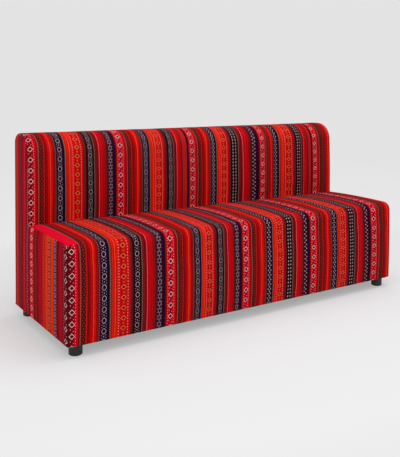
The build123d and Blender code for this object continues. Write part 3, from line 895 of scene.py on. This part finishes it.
# Bent wires set along paths with Geometry Nodes: the staples under the frame, the stitches of the rear panel
stapling = {
    "Pitch": 0.14, "Wire": 0.0008, "Crown": 0.011, "Leg": 0.0094, "Bend": 0.0014, "Lean": 0.0, "Uneven": 0.06,
    "Seed": 3,
}
stitching = {
    "Pitch": 0.0105, "Wire": 0.0009, "Crown": 0.0066, "Leg": 0.0024, "Bend": 0.0011, "Lean": 1.15, "Uneven": 0.14,
    "Seed": 11,
}


def wireTree(name, sizes, material):
    tree = bpy.data.node_groups.new(name, "GeometryNodeTree")
    tree.interface.new_socket("Geometry", in_out="INPUT", socket_type="NodeSocketGeometry")
    for size, value in sizes.items():
        kind = "NodeSocketInt" if isinstance(value, int) else "NodeSocketFloat"
        tree.interface.new_socket(size, in_out="INPUT", socket_type=kind)
    tree.interface.new_socket("Geometry", in_out="OUTPUT", socket_type="NodeSocketGeometry")
    recipe = Recipe(tree)
    put = recipe.put
    given = {socket.name: Sum(recipe, socket) for socket in recipe.node("NodeGroupInput").outputs if socket.name}
    # One wire: a leg, the crown and a leg, with rounded bends
    index = put("GeometryNodeInputIndex")
    over, outer = ((index > 1.5) - 0.5) * given["Crown"], abs(index - 1.5) > 1.0
    line = put("GeometryNodeMeshLine", {}, {"Count": 4})
    spot = recipe.point(over, 0.0, outer * given["Leg"])
    line = put("GeometryNodeSetPosition", {}, {"Geometry": line, "Position": spot})
    wire = put("GeometryNodeMeshToCurve", {}, {"Mesh": line})
    wire = put("GeometryNodeFilletCurve", {"mode": "POLY"}, {"Curve": wire, "Count": 2, "Radius": given["Bend"]})
    girth = put("GeometryNodeCurvePrimitiveCircle", {}, {"Resolution": 5, "Radius": given["Wire"] * 0.5})
    wire = put("GeometryNodeCurveToMesh", {}, {"Curve": wire, "Profile Curve": girth, "Fill Caps": True})
    # Set along each path, its legs towards the path's own inward way
    path = put("GeometryNodeMeshToCurve", {}, {"Mesh": given["Geometry"]})
    rows = recipe.node("GeometryNodeCurveToPoints", {"mode": "LENGTH"}, {"Curve": path, "Length": given["Pitch"]})
    inward = put("GeometryNodeInputNamedAttribute", {"data_type": "FLOAT_VECTOR"}, {"Name": "inward"})
    turn = put("FunctionNodeAlignRotationToVector", {"axis": "Z"}, {"Vector": inward})
    turn = put(
        "FunctionNodeAlignRotationToVector", {"axis": "X", "pivot_axis": "Z"},
        {"Rotation": turn, "Vector": recipe.out(rows, "Tangent")},
    )
    span = {2: given["Uneven"] * -1.0, 3: given["Uneven"], 8: given["Seed"]}
    chance = put("FunctionNodeRandomValue", {"data_type": "FLOAT"}, span, 1)
    lean = put("FunctionNodeEulerToRotation", {}, {0: recipe.point(0.0, 0.0, given["Lean"] + chance)})
    turn = put("FunctionNodeRotateRotation", {"rotation_space": "LOCAL"}, {0: turn, 1: lean})
    made = put("GeometryNodeInstanceOnPoints", {}, {"Points": recipe.out(rows), "Instance": wire, "Rotation": turn})
    made = put("GeometryNodeRealizeInstances", {}, {0: made})
    made = put("GeometryNodeSetMaterial", {}, {"Geometry": made, "Material": material})
    recipe.node("NodeGroupOutput", {}, {0: made})
    return tree


def wiresAlong(name, paths, sizes, material):
    # Each path is its two ends and the way the legs point
    mesh = bpy.data.meshes.new(name + "Paths")
    mesh.from_pydata([p for ends in paths for p in ends[:2]], [(2 * i, 2 * i + 1) for i in range(len(paths))], [])
    inward = mesh.attributes.new("inward", "FLOAT_VECTOR", "POINT")
    for i, ends in enumerate(paths):
        inward.data[2 * i].vector = inward.data[2 * i + 1].vector = ends[2]
    piece = bpy.data.objects.new(name, mesh)
    bpy.context.scene.collection.objects.link(piece)
    grow = piece.modifiers.new("grow", "NODES")
    grow.node_group = wireTree(name, sizes, material)
    for item in grow.node_group.interface.items_tree:
        if item.in_out == "INPUT" and item.name in sizes:
            grow[item.identifier] = sizes[item.name]
    shaped = bpy.data.meshes.new_from_object(piece.evaluated_get(bpy.context.evaluated_depsgraph_get()))
    piece.modifiers.remove(grow)
    piece.data = shaped
    shaped.materials.clear()
    shaped.materials.append(material)
    for face in shaped.polygons:
        face.material_index, face.use_smooth = 0, True
    if "inward" in shaped.attributes:
        shaped.attributes.remove(shaped.attributes["inward"])
    return piece


staplePaths = {"low": 0.0466, "front": 0.303, "end": 0.878, "halfLong": 0.8095, "halfShort": 0.2345}


def stapleRows():
    low, y, x, long, short = staplePaths.values()
    rows = [((-long, side, low), (long, side, low), (0, 0, 1)) for side in (-y, y)]
    return rows + [((side, -short, low), (side, short, low), (0, 0, 1)) for side in (-x, x)]


def stitchRows():
    # Along the crest seam and down both sides of the rear panel
    radius, rear = form["endRound"], form["rear"]
    end, proud = form["half"] - radius, radius + 0.0002
    tilt = math.asin((seamX - end) / radius)
    rows = [((-end, rear + 0.0002, crestZ), (end, rear + 0.0002, crestZ), (0, -1, 0))]
    for side in (-1, 1):
        x, y = side * (end + proud * math.sin(tilt)), rear - radius + proud * math.cos(tilt)
        inward = (-side * math.sin(tilt), -math.cos(tilt), 0)
        rows.append(((x, y, crestZ - 0.004), (x, y, form["bottom"] + 0.012), inward))
    return rows


coverStaples = wiresAlong("coverStaples", stapleRows(), stapling, finishes["zinc"])
declare(coverStaples, "zinc_steel", "dust_cover_staples")
thread = plainCloth("closingThread", tone(96, 8, 18), tone(168, 26, 36), 1500.0, 0.7, 0.0002)
closingStitches = wiresAlong("closingStitches", stitchRows(), stitching, thread)
declare(closingStitches, "striped_cloth")
print("staples and stitches:", len(coverStaples.data.polygons), "and", len(closingStitches.data.polygons), "faces")

for name, node in nodes.items():
    if node.hide_render:
        continue
    kind = next(value for part, value in finishOf.items() if part in name)
    for place in node.material_slots:
        place.material = finishes[kind]
    if not node.material_slots:
        node.data.materials.append(finishes[kind])
print("frame finishes set")


# The pale floor, which fades into the backdrop, and soft studio light
room = {
    "floor": tone(231, 231, 233), "near": tone(232, 232, 232), "wall": tone(228, 227, 227),
    "shadowGlow": 0.42, "litTo": 1.15, "glowFrom": 2.3, "wallFrom": 7.0, "reach": 28.0,
}


def paleFloor():
    # Round the sofa the floor is lit and shadowed, but partly a flat glow that only the camera and reflections see,
    # which paints its shadow lighter; further off it is only that flat tone
    recipe = newSkin("paleFloor")
    x, y, _ = recipe.parts(recipe.objectPoint())
    away = recipe.math("SQRT", x * x + y * y * 1.6)

    def share(start, end):
        return recipe.math("MINIMUM", recipe.math("MAXIMUM", (away - start) / (end - start), 0.0), 1.0)

    tint = recipe.noise(recipe.point(x * 0.6, y * 0.6), 1.0, 2.0) * 0.01 + 0.995
    colour = recipe.mix(1.0, room["floor"], recipe.point(tint, tint, tint), "MULTIPLY")
    sockets = {"Base Color": colour, "Roughness": 0.9, "Specular IOR Level": 0.1}
    matte = recipe.put("ShaderNodeBsdfPrincipled", {}, sockets)
    far = recipe.mix(share(room["glowFrom"], room["wallFrom"]), room["near"], room["wall"])
    glow = recipe.put("ShaderNodeEmission", {}, {"Color": far, "Strength": 1.0})
    # Painted light: near the sofa at least this share of the floor is the camera-only glow, which lightens the sofa's
    # cast shadow
    lifted = recipe.math("MAXIMUM", share(room["litTo"], room["glowFrom"]), room["shadowGlow"])
    blend = recipe.put("ShaderNodeMixShader", {}, {0: lifted * recipe.directlySeen(), 1: matte, 2: glow})
    recipe.node("ShaderNodeOutputMaterial", {}, {0: blend})
    return recipe.owner


def layFloor():
    work = bmesh.new()
    bmesh.ops.create_circle(work, cap_ends=True, radius=room["reach"], segments=96)
    mesh = bpy.data.meshes.new("studioFloor")
    work.to_mesh(mesh)
    work.free()
    addPiece("studioFloor", mesh, paleFloor())


def worldLight(strength):
    recipe = Recipe(bpy.data.worlds.new("studio"))
    light = recipe.put("ShaderNodeBackground", {}, {0: tone(255, 255, 255), 1: strength})
    wall = recipe.put("ShaderNodeBackground", {}, {0: room["wall"], 1: 1.0})
    blend = recipe.put("ShaderNodeMixShader", {}, {0: recipe.directlySeen(), 1: light, 2: wall})
    recipe.node("ShaderNodeOutputWorld", {}, {0: blend})
    bpy.context.scene.world = recipe.owner


def softLight(name, place, aim, size, power):
    lamp = bpy.data.lights.new(name, "AREA")
    lamp.shape, lamp.size, lamp.energy = "SQUARE", size, power
    made = bpy.data.objects.new(name, lamp)
    turn = (Vector(aim) - Vector(place)).to_track_quat("-Z", "Y")
    made.matrix_world = Matrix.Translation(place) @ turn.to_matrix().to_4x4()
    bpy.context.scene.collection.objects.link(made)


layFloor()
worldLight(0.6)
softLight("overhead", (0.4, -0.6, 3.4), (0, 0, 0.4), 3.0, 62)
softLight("frontFill", (-2.1, -3.6, 2.6), (0, 0.1, 0.55), 1.8, 40)
softLight("leftFill", (-4.2, -0.6, 1.9), (-0.9, 0, 0.4), 1.8, 16)
bpy.context.scene.view_settings.view_transform = "Standard"
print("room and lights set")
